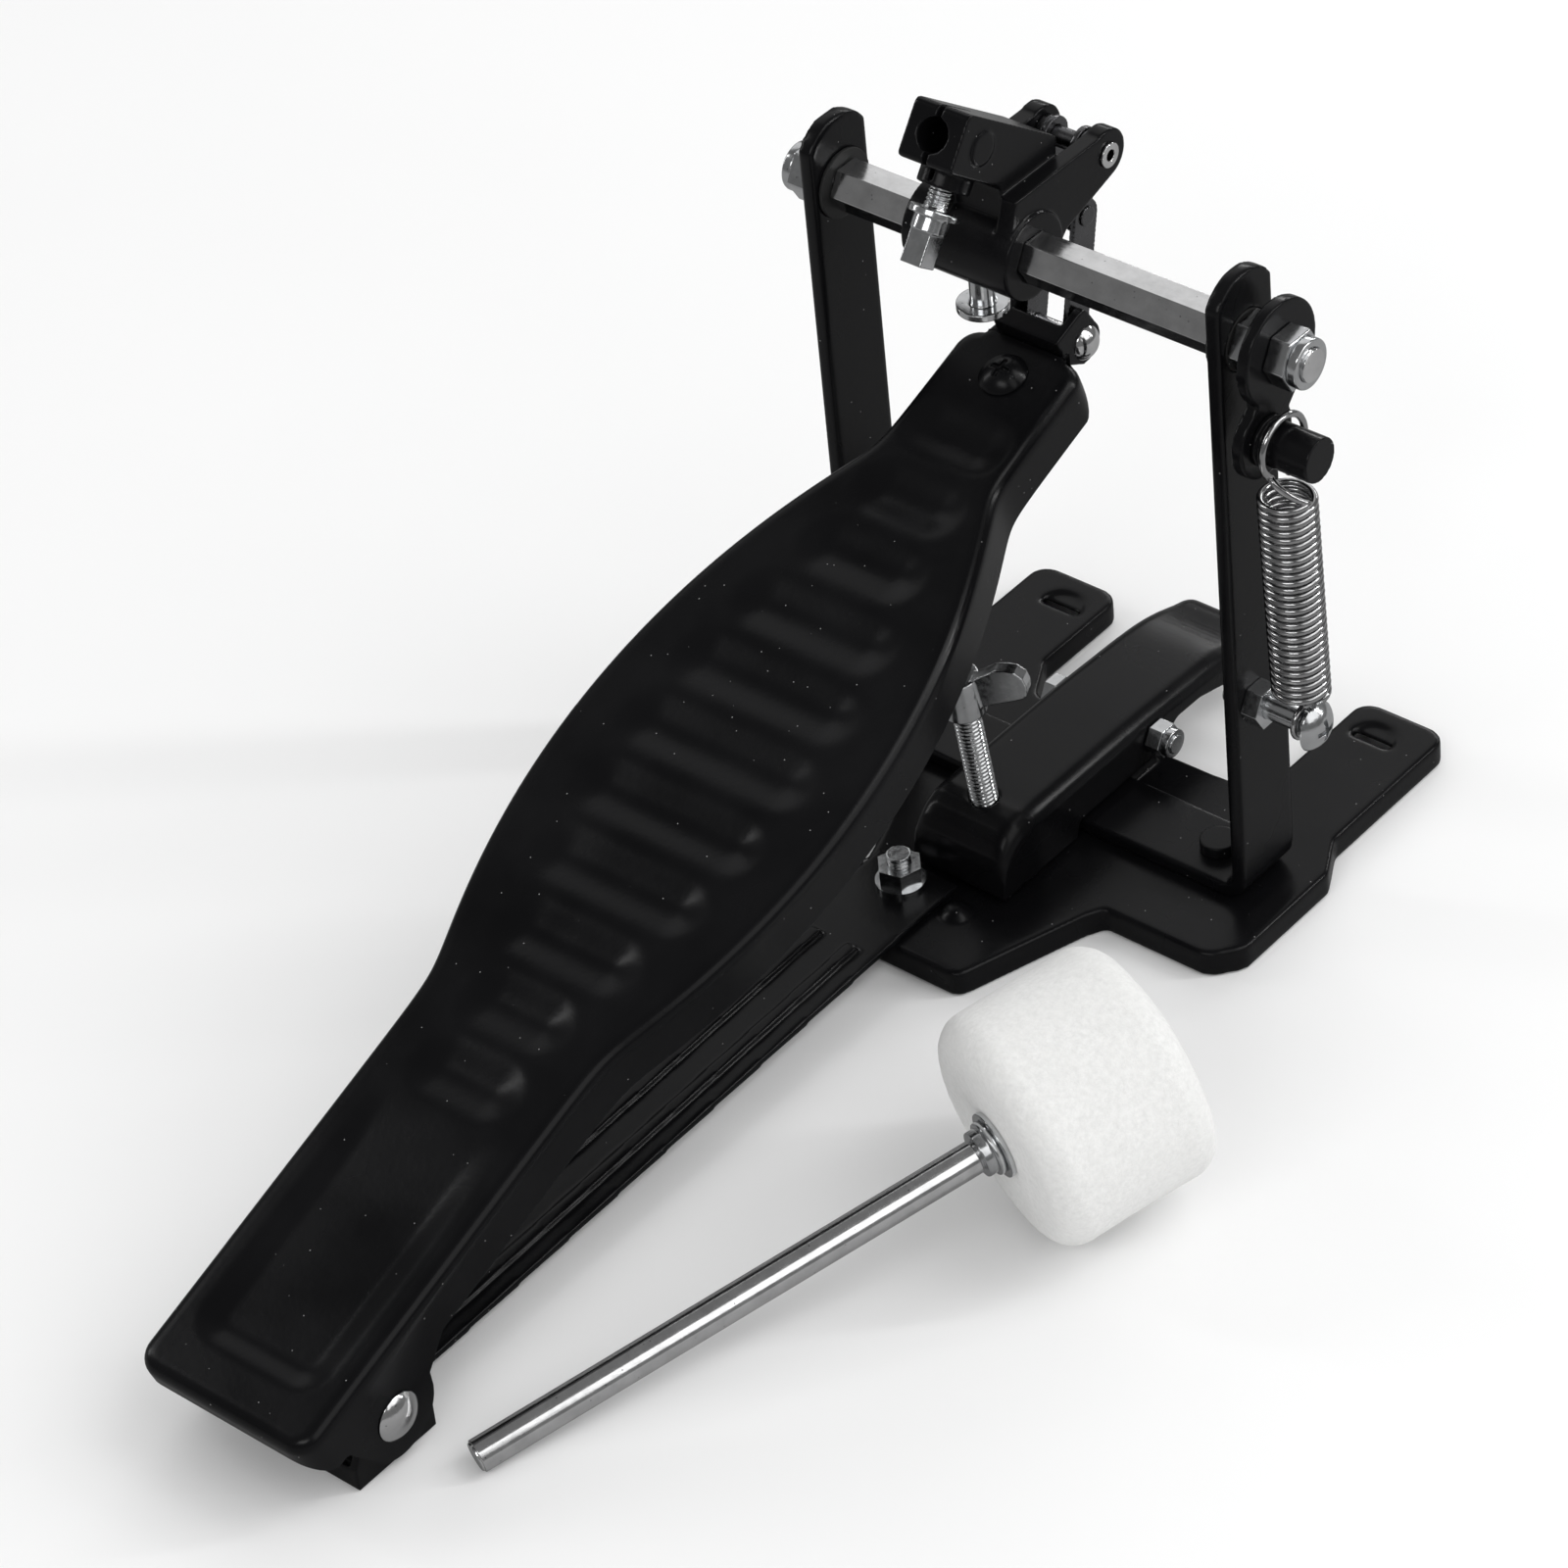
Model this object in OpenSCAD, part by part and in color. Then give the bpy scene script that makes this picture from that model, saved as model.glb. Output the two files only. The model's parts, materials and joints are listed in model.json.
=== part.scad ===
// Bass drum pedal with a bent strap frame, pressed sheet steel footboard and felt beater.
// Millimetres. +Z is up, +Y points at the drum and +X is the player's right.
// The origin is on the floor, straight below the middle of the axle.

/* [Base plate] */
// Height of the pressed base plate above the floor
base_h = 7; // [6:0.5:9]
// Thickness of the pressed steel sheet
sheet = 2; // [1.5:0.1:2.2]
// Half width of the base plate at its wings
wing_x = 69; // [66:1:74]
// Y of the front edge of the two tabs under the hoop
tab_y = 69.5; // [66:0.5:74]

/* [Frame] */
// Width over the two posts
post_span = 120; // [116:1:124]
// Thickness of the bent strap
strap_t = 4; // [3:0.5:4]
// Width of the bent strap
strap_w = 20; // [18:1:22]
// Height of the axle's centre above the floor
axle_z = 165; // [160:1:170]
// Height of the post tops above the axle's centre
post_over = 18; // [16:1:20]

/* [Axle] */
// Width across flats of the hexagonal axle
axle_af = 11; // [10:0.5:12]
// Diameter of the round journals that turn in the bushes
journal_d = 10; // [9:0.5:10.5]
// Diameter of the threaded axle ends
axle_thread_d = 8; // [7:0.5:8]

/* [Hub] */
// X of the hub, the chain, the footboard and the floor rail
line_x = -12; // [-14:0.5:-10]
// Diameter of the hub barrel
hub_d = 21.4; // [20:0.2:23]
// Distance of the beater hole from the axle's centre
beater_offset = 20; // [19:0.5:21]
// Diameter of the beater hole
beater_hole_d = 8.2; // [8.1:0.1:8.4]
// Radius of the fork pin's circle round the axle
fork_r = 31.5; // [31:0.1:32]
// Angle of the fork pin above the horizontal
fork_angle = 20; // [18:1:22]

/* [Footboard] */
// Length of the footboard from heel to toe
board_len = 313; // [310:1:315]
// Slope of the footboard at rest
board_slope = 19.6; // [19:0.1:20]
// Half width at the heel
heel_w = 26; // [25:0.5:27]
// Half width at the bulge
mid_w = 40.6; // [38:0.2:42]
// Half width at the toe
toe_w = 17.4; // [16.5:0.1:18]
// Depth of the side flanges
flange_h = 13.5; // [12:0.5:14]
// Number of cross grooves
grooves = 11; // [8:1:12]

/* [Return spring] */
// Outer diameter of the coil
spring_od = 14; // [13:0.5:14.5]
// Diameter of the spring wire
wire_d = 1.7; // [1.5:0.1:1.8]
// X of the spring's middle plane
spring_x = 74; // [74:0.5:75]

/* [Beater] */
// Diameter of the beater shaft
shaft_d = 8; // [7.8:0.1:8]
// Diameter of the felt head
head_d = 59; // [54:1:60]
// Length of the felt head
head_len = 42; // [40:1:45]
// Visible length of the shaft, from its free end to the washers
shaft_out = 131; // [126:1:140]
// Direction in which the beater lies on the floor, from +X towards +Y
beater_heading = 68.5; // [67:0.5:71]

/* [Hidden] */
$fn = 48;

black_steel = "#1b1b1d";
black_cast = "#202022";
zinc = "silver";

clear = 0.06;                    // radial running clearance of a pin in its hole
gap = 0.3;                       // side gap between parts that move past each other
strap_top = base_h + strap_t;    // top of the frame's cross bar
post_x = post_span / 2;
strap_bend = 7;                  // outer radius of the frame's lower bends
bush_r = 7.5;

// Heel pin, footboard frame and clevis pin, as [y, z]
heel_pin_yz = [-256.5, 14.3];
heel_pin_r = 3;
pin_from_heel = 23.1;            // from the heel edge to the pin, along the board
pin_below_top = 19.8;            // from the board's top face down to the pin
clevis_pin_s = 8.7;              // clevis pin beyond the toe edge, along the board
clevis_pin_h = -5.2;             // clevis pin below the board's top face
link_pin_r = 1.8;
fork_pin_r = 2.5;
upper_link_len = 17;
link_play = 1.4;                 // play of the link pin in the upper link's plates

function turn(v, a) = [v.x * cos(a) - v.y * sin(a), v.x * sin(a) + v.y * cos(a)];
function board_yz(s, h) =
  heel_pin_yz + turn([s - pin_from_heel, h + pin_below_top], board_slope);
function unit(v) = v / norm(v);

clevis_yz = board_yz(board_len + clevis_pin_s, clevis_pin_h);
fork_yz = [0, axle_z] + fork_r * [cos(fork_angle), sin(fork_angle)];
chain_dir = unit(clevis_yz - fork_yz);
link_yz = fork_yz + upper_link_len * chain_dir;
chain_angle = atan2(chain_dir.y, chain_dir.x);

// Hoop clamp
jaw_x = -1;                      // X of the jaw's middle
jaw_pivot_yz = [17.5, 19.5];
jaw_w = 28;
jaw_sheet = 2.5;
jaw_top = 27;
jaw_heel_y = -42.5;
jaw_tip_y = 69;
wing_lean = 8;                   // lean of the wing bolt towards the heel
wing_d = 7;
wing_tip_yz = [-28, base_h + 0.7];

// Spring anchorages, as [y, z]
spring_screw_yz = [-3, 65];
spring_post_yz = [-6.5, 145.5];
spring_post_r = 5.5;
spring_dir = unit(spring_post_yz - spring_screw_yz);
spring_lean = atan2(-spring_dir.x, spring_dir.y);
spring_len = norm(spring_post_yz - spring_screw_yz);
hook_play = 1.3;                 // play of the top hook round its post

// Beater tilt that puts both the shaft's end and the head's rim on the floor
head_rim = 7;                    // rounding of the felt head's rims
head_start = shaft_out + 4.5;    // where the felt begins, from the shaft's free end
lie_a = head_start + head_rim;
lie_b = head_d / 2 - head_rim - shaft_d / 2;
beater_tilt = asin(head_rim / norm([lie_a, lie_b])) + atan(lie_b / lie_a);
beater_end = [28.5, -249.3, shaft_d / 2 * cos(beater_tilt) + 0.02];

// ---- helpers ----

// Points of an arc that rounds corner p between neighbours a and b
function corner(a, p, b, n) =
  let (q = [p.x, p.y], r = p[2])
  r == 0 ? [q] :
  let (u = unit([a.x, a.y] - q), v = unit([b.x, b.y] - q))
  let (half = acos(u * v) / 2, c = q + unit(u + v) * r / sin(half))
  let (t1 = q + u * r / tan(half) - c, t2 = q + v * r / tan(half) - c)
  let (a1 = atan2(t1.y, t1.x), d = (atan2(t2.y, t2.x) - a1 + 540) % 360 - 180)
  [for (i = [0:n]) c + r * [cos(a1 + d * i / n), sin(a1 + d * i / n)]];

// A polygon with each corner [x, y, radius] rounded
function rounded(pts, n = 4) = let (m = len(pts))
  [for (i = [0:m - 1]) each corner(pts[(i + m - 1) % m], pts[i], pts[(i + 1) % m], n)];

// The same outline, moved inwards by t; the points run anticlockwise
function inset(pts, t) = let (m = len(pts))
  [for (i = [0:m - 1])
    let (e1 = unit(pts[i] - pts[(i + m - 1) % m]), e2 = unit(pts[(i + 1) % m] - pts[i]))
    let (n1 = [-e1.y, e1.x], n2 = [-e2.y, e2.x])
    pts[i] + t * (n1 + n2) / (1 + n1 * n2)];

function mirrored(pts) = concat(pts, [for (i = [len(pts) - 1:-1:0]) [-pts[i].x, pts[i].y]]);

// A bar along X from x1 to x2, centred on yz
module xrod(yz, r, x1, x2, fn = $fn) {
  translate([x1, yz.x, yz.y]) rotate([0, 90, 0]) cylinder(r = r, h = x2 - x1, $fn = fn);
}

// A hexagonal bar along X, across flats af, with a flat on top
module xhex(yz, af, x1, x2) {
  translate([x1, yz.x, yz.y]) rotate([0, 90, 0]) rotate([0, 0, 30])
    cylinder(r = af / 2 / cos(30), h = x2 - x1, $fn = 6);
}

// A shape drawn in Y and Z, extruded along X from x1 to x2
module xplate(x1, x2) {
  translate([x1, 0, 0]) rotate([90, 0, 90]) linear_extrude(x2 - x1) children();
}

// A solid drawn in the footboard's frame: X across, Y along the board from the heel, Z up from its top
module on_board() {
  o = board_yz(0, 0);
  translate([line_x, o.x, o.y]) rotate([board_slope, 0, 0]) children();
}

// A straight link: two round ends of radius r, centres at a and b in Y and Z
module link_2d(a, b, r, hole_a, hole_b) {
  d = unit(b - a);
  n = [-d.y, d.x] * r;
  difference() {
    union() {
      translate(a) circle(r);
      translate(b) circle(r);
      polygon([a + n, a - n, b - n, b + n]);
    }
    translate(a) circle(hole_a);
    translate(b) circle(hole_b);
  }
}

// A nylon-insert lock nut along +X from x1: a hexagon, then a round collar
module lock_nut(yz, x1, af, h, bore) {
  difference() {
    union() {
      xhex(yz, af, x1, x1 + h * 0.68);
      xrod(yz, af * 0.47, x1 + h * 0.68, x1 + h);
    }
    xrod(yz, bore, x1 - 1, x1 + h + 1);
  }
}

// A domed rivet head of radius r and height h on the +X side of x1
module dome(yz, r, h, x1) {
  big = (r * r + h * h) / (2 * h);
  edge = asin(r / big);
  translate([x1, yz.x, yz.y]) rotate([0, 90, 0]) rotate_extrude()
    polygon(concat([[0, 0]], [for (i = [8:-1:0])
      [big * sin(edge * i / 8), big * cos(edge * i / 8) - big + h]]));
}

// ---- base and frame ----

base_half = [
  [19, -68.5, 4], [30.5, -34, 0], [33, -29.5, 1.5], [63, -29.5, 7], [wing_x, -22, 5],
  [wing_x, 11, 3], [63, 22, 3], [63, tab_y, 5], [37.5, tab_y, 5], [37.5, 38, 0],
  [31, 26, 5], [12, 25.5, 0]
];
base_outline = [for (p = rounded(concat(base_half,
  [for (i = [len(base_half) - 1:-1:0]) [-base_half[i].x, base_half[i].y, base_half[i][2]]]))) p];
slot_xy = [48, 58];
bump_x = 16.6;
bump_y = -50.5;
lug_x = 11.2;                    // outer face of the jaw lugs, from the jaw's middle
lug_t = 2.2;
lug_r = 4.7;
rail_bolt_y = -50.8;
rivet_x = 45;

module base_plate() color(black_steel) {
  difference() {
    union() {
      difference() {
        linear_extrude(base_h) polygon(base_outline);
        translate([0, 0, -1]) linear_extrude(base_h - sheet + 1) polygon(inset(base_outline, sheet));
      }
      // Lugs turned up inside the jaw to carry its pivot
      for (side = [-1, 1])
        let (x1 = jaw_x + side * (lug_x - lug_t / 2) - lug_t / 2)
          xplate(x1, x1 + lug_t) difference() {
            union() {
              translate(jaw_pivot_yz) circle(lug_r);
              translate([strap_w / 2 + gap, base_h - sheet])
                square([11.5, strap_top - base_h + sheet]);
              polygon([[strap_w / 2 + gap, base_h], jaw_pivot_yz - [lug_r - 0.1, 0],
                jaw_pivot_yz + [lug_r - 0.1, 0], [strap_w / 2 + gap + 11.5, base_h]]);
            }
            translate(jaw_pivot_yz) circle(2.5);
          }
      // Locating bumps on both sides of the rail
      for (side = [-1, 1])
        translate([line_x + side * bump_x, bump_y, base_h]) rotate([0, -90, 0])
          dome([0, 0], 4.2, 2.2, 0);
    }
    // Half-moon slots in the two tabs
    for (side = [-1, 1])
      translate([side * slot_xy.x, slot_xy.y, 0]) {
        translate([-5.5, -1.2, -1]) cube([11, 2.4, base_h + 2]);
        translate([0, 0, base_h - 0.8]) intersection() {
          cylinder(r = 6, h = 2);
          translate([-7, 0, 0]) cube([14, 7, 2]);
        }
      }
    translate([line_x, rail_bolt_y, 0]) cylinder(r = 3, h = base_h + 1);
    for (side = [-1, 1]) translate([side * rivet_x, 0, 0]) cylinder(r = 3, h = base_h + 1);
  }
}

module post_frame() color(black_steel) {
  top = axle_z + post_over;
  shoulder = top - 5.6;
  half = strap_w / 2;
  dome_r = (half * half + 5.6 * 5.6) / (2 * 5.6);
  outer = rounded([[-post_x, base_h, strap_bend], [post_x, base_h, strap_bend],
    [post_x, top + 1, 0], [-post_x, top + 1, 0]]);
  inner = rounded([[-post_x + strap_t, strap_top, strap_bend - strap_t],
    [post_x - strap_t, strap_top, strap_bend - strap_t],
    [post_x - strap_t, top + 2, 0], [-post_x + strap_t, top + 2, 0]]);
  difference() {
    intersection() {
      translate([0, half, 0]) rotate([90, 0, 0]) linear_extrude(strap_w) difference() {
        polygon(outer);
        polygon(inner);
      }
      union() {
        translate([-post_x - 1, -half, 0]) cube([post_span + 2, strap_w, shoulder]);
        intersection() {
          xrod([0, top - dome_r], dome_r, -post_x - 1, post_x + 1);
          translate([-post_x - 1, -half, shoulder - 1]) cube([post_span + 2, strap_w, 10]);
        }
      }
    }
    xrod([0, axle_z], bush_r, -post_x - 1, post_x + 1);
    xrod(spring_screw_yz, 3, post_x - strap_t - 1, post_x + 1);
    for (side = [-1, 1]) translate([side * rivet_x, 0, 0]) cylinder(r = 3, h = strap_top + 1);
  }
}

module frame_rivets() color(black_steel) {
  for (side = [-1, 1]) translate([side * rivet_x, 0, 0]) {
    translate([0, 0, base_h - sheet - 1.5]) cylinder(r = 4.4, h = 1.5);
    translate([0, 0, base_h - sheet]) cylinder(r = 3, h = strap_t + sheet);
    translate([0, 0, strap_top]) cylinder(r = 4.6, h = 3.2);
  }
}

module bearing_bushes() color("#2b2a28") {
  for (side = [-1, 1]) difference() {
    union() {
      xrod([0, axle_z], bush_r, min(side * post_x, side * (post_x - strap_t)),
        max(side * post_x, side * (post_x - strap_t)));
      xrod([0, axle_z], bush_r + 1.2, side > 0 ? post_x - strap_t - 1 : -post_x + strap_t,
        side > 0 ? post_x - strap_t : -post_x + strap_t + 1);
    }
    xrod([0, axle_z], journal_d / 2 + clear, -post_x - 2, post_x + 2);
  }
}

// ---- floor rail and heel ----

rail_w = 24;
rail_end_y = -44;
rail_flat_y = -66;
rail_heel_y = -262;
bracket_w = 23.6;                // half width over the bracket's ears
bracket_ear = 9;

module floor_rail() color(black_steel) {
  low = sheet + 0.02;
  high = base_h + 0.02;
  slope_end = rail_heel_y + 26;
  profile = [[rail_heel_y, low], [slope_end, low], [rail_flat_y, high], [rail_end_y, high],
    [rail_end_y, high + sheet], [rail_flat_y, high + sheet], [slope_end, low + sheet],
    [rail_heel_y, low + sheet]];
  bead = [[slope_end + 10, low + sheet - 0.4], [rail_flat_y - 10, high + sheet - 0.4],
    [rail_flat_y - 10, high + sheet + 1.2], [slope_end + 10, low + sheet + 1.2]];
  difference() {
    union() {
      xplate(line_x - rail_w / 2, line_x + rail_w / 2) polygon(profile);
      for (side = [-1, 1])
        xplate(line_x + side * 5.5 - 1.6, line_x + side * 5.5 + 1.6) polygon(bead);
    }
    translate([line_x, rail_bolt_y, 0]) cylinder(r = 3, h = 20);
    for (y = rivets_y) translate([line_x, y, -1]) cylinder(r = 2, h = 10);
  }
}

module rail_bolt() color(zinc) {
  translate([line_x, rail_bolt_y, 0]) {
    translate([0, 0, base_h - sheet - 3.2]) cylinder(r = 5.5 / cos(30), h = 3.2, $fn = 6);
    translate([0, 0, base_h - sheet]) cylinder(r = 3, h = 13);
  }
}

module rail_nut() color(zinc) {
  translate([line_x, rail_bolt_y, base_h + sheet + 0.02]) difference() {
    union() {
      cylinder(r = 6.2, h = 1.2);
      translate([0, 0, 1.2]) rotate([0, 0, 12]) cylinder(r = 5 / cos(30), h = 4.8, $fn = 6);
    }
    translate([0, 0, -1]) cylinder(r = 3, h = 10);
  }
}

bracket_y = [-269, -244];
rivets_y = [-259, -249];

module heel_bracket() color(black_steel) {
  y1 = bracket_y[0];
  y2 = bracket_y[1];
  difference() {
    union() {
      translate([line_x - bracket_w, y1, 0]) cube([2 * bracket_w, y2 - y1, sheet]);
      // A short lip turned up at the heel edge
      translate([line_x - bracket_w, y1, 0]) cube([2 * bracket_w, sheet, 6]);
      for (side = [-1, 1])
        let (x1 = line_x + side * (bracket_w - sheet / 2) - sheet / 2)
          xplate(x1, x1 + sheet) {
            translate(heel_pin_yz) circle(bracket_ear);
            polygon([[y1, 0], [y2, 0], [y2, 10], heel_pin_yz + [bracket_ear, 0],
              heel_pin_yz - [bracket_ear, 0], [y1, 6]]);
          }
    }
    xrod(heel_pin_yz, heel_pin_r, line_x - 40, line_x + 40);
    for (y = rivets_y) translate([line_x, y, -1]) cylinder(r = 2, h = 10);
  }
}

module bracket_rivets() color(black_steel) {
  for (y = rivets_y) translate([line_x, y, 0]) {
    cylinder(r = 2, h = 2 * sheet + 0.04);
    translate([0, 0, 2 * sheet + 0.02]) cylinder(r = 3.6, h = 1.4);
  }
}

module heel_pin() color(zinc) {
  x = heel_w + 0.25;
  xrod(heel_pin_yz, heel_pin_r, line_x - x, line_x + x);
  translate([line_x, 0, 0]) {
    dome(heel_pin_yz, 6.2, 2.6, x);
    mirror([1, 0, 0]) dome(heel_pin_yz, 6.2, 2.6, x);
  }
}

// ---- hoop clamp ----

jaw_side = rounded([[jaw_heel_y, 8.4, 1], [-13.5, 8.4, 1], [-12.5, 12.6, 1], [21, 12.6, 3],
  [26.5, 20.2, 3], [36, 20.2, 8], [48, 16.5, 8], [jaw_tip_y - 5, 9.5, 1.2], [jaw_tip_y, 11, 1.2],
  [jaw_tip_y - 1, 19, 6], [48, 25.5, 30], [14, jaw_top, 30], [jaw_heel_y + 1, jaw_top, 11]], 5);
jaw_hollow = [[jaw_heel_y + jaw_sheet, 0], [52, 0], [52, 22], [44, jaw_top - jaw_sheet - 1],
  [14, jaw_top - jaw_sheet], [jaw_heel_y + jaw_sheet + 9, jaw_top - jaw_sheet],
  [jaw_heel_y + jaw_sheet, jaw_top - jaw_sheet - 9]];

module wing_axis() {
  translate([jaw_x, wing_tip_yz.x, wing_tip_yz.y]) rotate([wing_lean, 0, 0]) children();
}

module hoop_jaw() color(black_steel) {
  half = jaw_w / 2;
  difference() {
    xplate(jaw_x - half, jaw_x + half) polygon(jaw_side);
    // The hollow underneath, closed at the heel end and the tip
    xplate(jaw_x - half + jaw_sheet, jaw_x + half - jaw_sheet) polygon(jaw_hollow);
    xrod(jaw_pivot_yz, 2.5 + clear, jaw_x - half - 1, jaw_x + half + 1);
    wing_axis() cylinder(r = wing_d / 2 + 0.05, h = 40);
  }
}

jaw_pin_out = jaw_w / 2 + gap;

module jaw_pivot_bolt() color(zinc) {
  xrod(jaw_pivot_yz, 2.5, jaw_x - jaw_pin_out, jaw_x + jaw_pin_out + 6.5);
  xhex(jaw_pivot_yz, 8, jaw_x - jaw_pin_out - 3.5, jaw_x - jaw_pin_out);
}

module jaw_pivot_nut() color(zinc) {
  lock_nut(jaw_pivot_yz, jaw_x + jaw_pin_out, 8, 6, 2.5);
}

module wing_bolt() color(zinc) {
  stud = 52.5;
  wing_axis() {
    cylinder(r1 = 2, r2 = wing_d / 2, h = 1.5);
    translate([0, 0, 1.5]) cylinder(r = wing_d / 2, h = stud);
    translate([0, 0, stud - 3]) cylinder(r1 = 5.6, r2 = 4.8, h = 11);
    rotate([0, 0, 18]) for (side = [0, 180])
      rotate([90, 0, side]) translate([0, 0, -1.7]) linear_extrude(3.4)
        polygon(rounded([[2, stud - 2, 0], [8, stud + 1, 3], [17.5, stud + 5, 3],
          [18, stud + 14, 4], [10, stud + 12.5, 4], [2, stud + 7, 0]], 3));
  }
}

// ---- axle, hub and spring lever ----

lever_x = 66.5;
lever_t = 3;
nut_h = 8;
washer_t = 1.2;
hex_end = post_x - strap_t - 1 - 0.4;  // the hexagon stops just inside the bush flange
right_end = lever_x + lever_t + nut_h + 0.8;
left_end = -(post_x + gap + washer_t + nut_h + 0.8);

module axle() color("#c9cbce") {
  xhex([0, axle_z], axle_af, -hex_end, hex_end);
  xrod([0, axle_z], journal_d / 2, -post_x - gap, post_x + gap);
  xrod([0, axle_z], axle_thread_d / 2, left_end, right_end);
}

module at_axle() {
  translate([0, 0, axle_z]) children();
}

hub_turn = -36.87;               // the beater hole slopes down towards the drum by this
block_back = 35.5;
block_front = 1.2;
block_left = -8.5;
arm_in = 7;
arm_out = 11.5;
hub_left = -18;
hub_right = 12.5;
clamp_at = 24.5;

// A solid drawn with Y along the beater hole, towards the drum, and Z square to it
module on_hub() {
  at_axle() translate([line_x, 0, 0]) rotate([hub_turn, 0, 0]) children();
}

module fork_arm_2d() {
  tip = fork_yz - [0, axle_z];
  tip_r = 6.3;
  difference() {
    union() {
      translate(tip) circle(tip_r);
      polygon([[-4, 16.5], [-9, 3], [6, -7.5], [13.5, -0.5], tip + [1.6, -6.09], tip + [-2.6, 5.74]]);
    }
    translate(tip) circle(fork_pin_r);
  }
}

module hub() color(black_cast) {
  difference() {
    union() {
      at_axle() xrod([0, 0], hub_d / 2, line_x + hub_left, line_x + hub_right);
      at_axle() {
        xplate(line_x + arm_in, line_x + arm_out) fork_arm_2d();
        xplate(line_x - arm_out, line_x - arm_in) fork_arm_2d();
      }
      on_hub() {
        // Beater block
        xplate(block_left, arm_in) polygon(rounded([[-block_back, 13, 1.5], [-14, 13, 3], [-9, 6, 0],
          [6, 6, 0], [9, 12, 2], [block_front, 27.2, 1.5], [-block_back, 27.2, 1.5]], 3));
        // Boss for the beater clamp bolt
        translate([-1, -clamp_at, 9]) cylinder(r = 6.3, h = 4.2);
        // Blank cast disc on the block's side
        xrod([-26.5, 20.5], 4, arm_in - 0.2, arm_in + 0.5);
      }
    }
    at_axle() xhex([0, 0], axle_af, -post_x, post_x);
    on_hub() {
      translate([-1, 10, beater_offset]) rotate([90, 0, 0])
        cylinder(r = beater_hole_d / 2, h = 60);
      translate([-1, -clamp_at, 8]) cylinder(r = 3 + 0.05, h = beater_offset - 8);
      // Slit that lets the block close on the shaft
      translate([-1.6, -block_back - 1, 10]) cube([1.2, 12, 20]);
    }
    translate([line_x - 4, 0, axle_z - hub_d / 2 - 1]) cylinder(r = 3, h = hub_d / 2);
  }
}

module hub_set_screw() color(zinc) {
  tip = axle_z - axle_af / 2 - 0.02;
  head = axle_z - 18.5;
  difference() {
    translate([line_x - 4, 0, 0]) {
      translate([0, 0, head]) cylinder(r = 3, h = tip - head);
      translate([0, 0, head - 1.6]) cylinder(r = 6.3, h = 1.8);
    }
    translate([line_x - 4 - 7, -0.6, head - 2]) cube([14, 1.2, 1.2]);
  }
}

// Square-headed drum key bolt, drawn with its tip at the origin and its head along -Z
module key_bolt(len, r) {
  translate([0, 0, -len]) cylinder(r = r, h = len);
  translate([0, 0, -len - 1.4]) cylinder(r = 6, h = 1.6);
  translate([0, 0, -len - 5]) cylinder(r = 4.3, h = 4);
  translate([-2.9, -2.9, -len - 13]) cube([5.8, 5.8, 9]);
}

module beater_clamp_bolt() color(zinc) {
  on_hub() translate([-1, -clamp_at, beater_offset - beater_hole_d / 2 - 0.4]) key_bolt(11.8, 3);
}

module fork_pin() color(zinc) {
  difference() {
    union() {
      xrod(fork_yz, fork_pin_r, line_x - arm_out, line_x + arm_out);
      xrod(fork_yz, 3.1, line_x + arm_out, line_x + arm_out + 0.8);
      xrod(fork_yz, 3.1, line_x - arm_out - 0.8, line_x - arm_out);
    }
    xrod(fork_yz, 1.4, line_x + arm_out - 4, line_x + arm_out + 1);
  }
}

plate_t = 1.5;
outer_plate = 5.25;              // inner face of the lower link's plates, from the chain's middle
inner_plate = 3.5;               // inner face of the upper link's plates

module fork_spacers() color(zinc) {
  for (side = [-1, 1]) let (x1 = side > 0 ? inner_plate + plate_t + 0.1 : -arm_in + 0.02)
    difference() {
      xrod(fork_yz, 4.2, line_x + x1, line_x + x1 + arm_in - inner_plate - plate_t - 0.12);
      xrod(fork_yz, fork_pin_r, line_x - 10, line_x + 10);
    }
}

module axle_collar() color(zinc) difference() {
  xhex([0, axle_z], 13.5, post_x + gap, lever_x);
  xrod([0, axle_z], axle_thread_d / 2, post_x, lever_x + 1);
}

module spring_lever() color(black_steel) {
  c = [0, axle_z];
  p = spring_post_yz;
  xplate(lever_x, lever_x + lever_t) difference() {
    union() {
      translate(c) circle(13);
      translate(p) circle(9.6);
      polygon([c + [-9, -8.6], c + [9, -8.6], p + [8.4, 3.6], p + [-8.6, 3.2]]);
    }
    translate(c) circle(axle_thread_d / 2);
  }
}

module spring_post() color(black_steel) {
  x1 = lever_x + lever_t;
  xrod(spring_post_yz, spring_post_r, x1, x1 + 14.5);
  xrod(spring_post_yz, spring_post_r + 0.8, x1, x1 + 1.2);
}

module axle_nuts() color(zinc) {
  lock_nut([0, axle_z], lever_x + lever_t, 13, nut_h, axle_thread_d / 2);
  mirror([1, 0, 0]) lock_nut([0, axle_z], post_x + gap + washer_t, 13, nut_h, axle_thread_d / 2);
}

module axle_washer() color(zinc) difference() {
  xrod([0, axle_z], 8, -post_x - gap - washer_t, -post_x - gap);
  xrod([0, axle_z], axle_thread_d / 2, -post_x - 5, -post_x);
}

// ---- drive chain ----

module upper_link() color(black_steel) {
  for (x1 = [-inner_plate - plate_t, inner_plate])
    xplate(line_x + x1, line_x + x1 + plate_t)
      link_2d(fork_yz, link_yz, 4.6, fork_pin_r + clear, link_pin_r + link_play);
}

module lower_link() color(black_steel) {
  for (x1 = [-outer_plate - plate_t, outer_plate])
    xplate(line_x + x1, line_x + x1 + plate_t)
      link_2d(link_yz, clevis_yz, 4.2, link_pin_r, fork_pin_r + clear);
}

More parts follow.
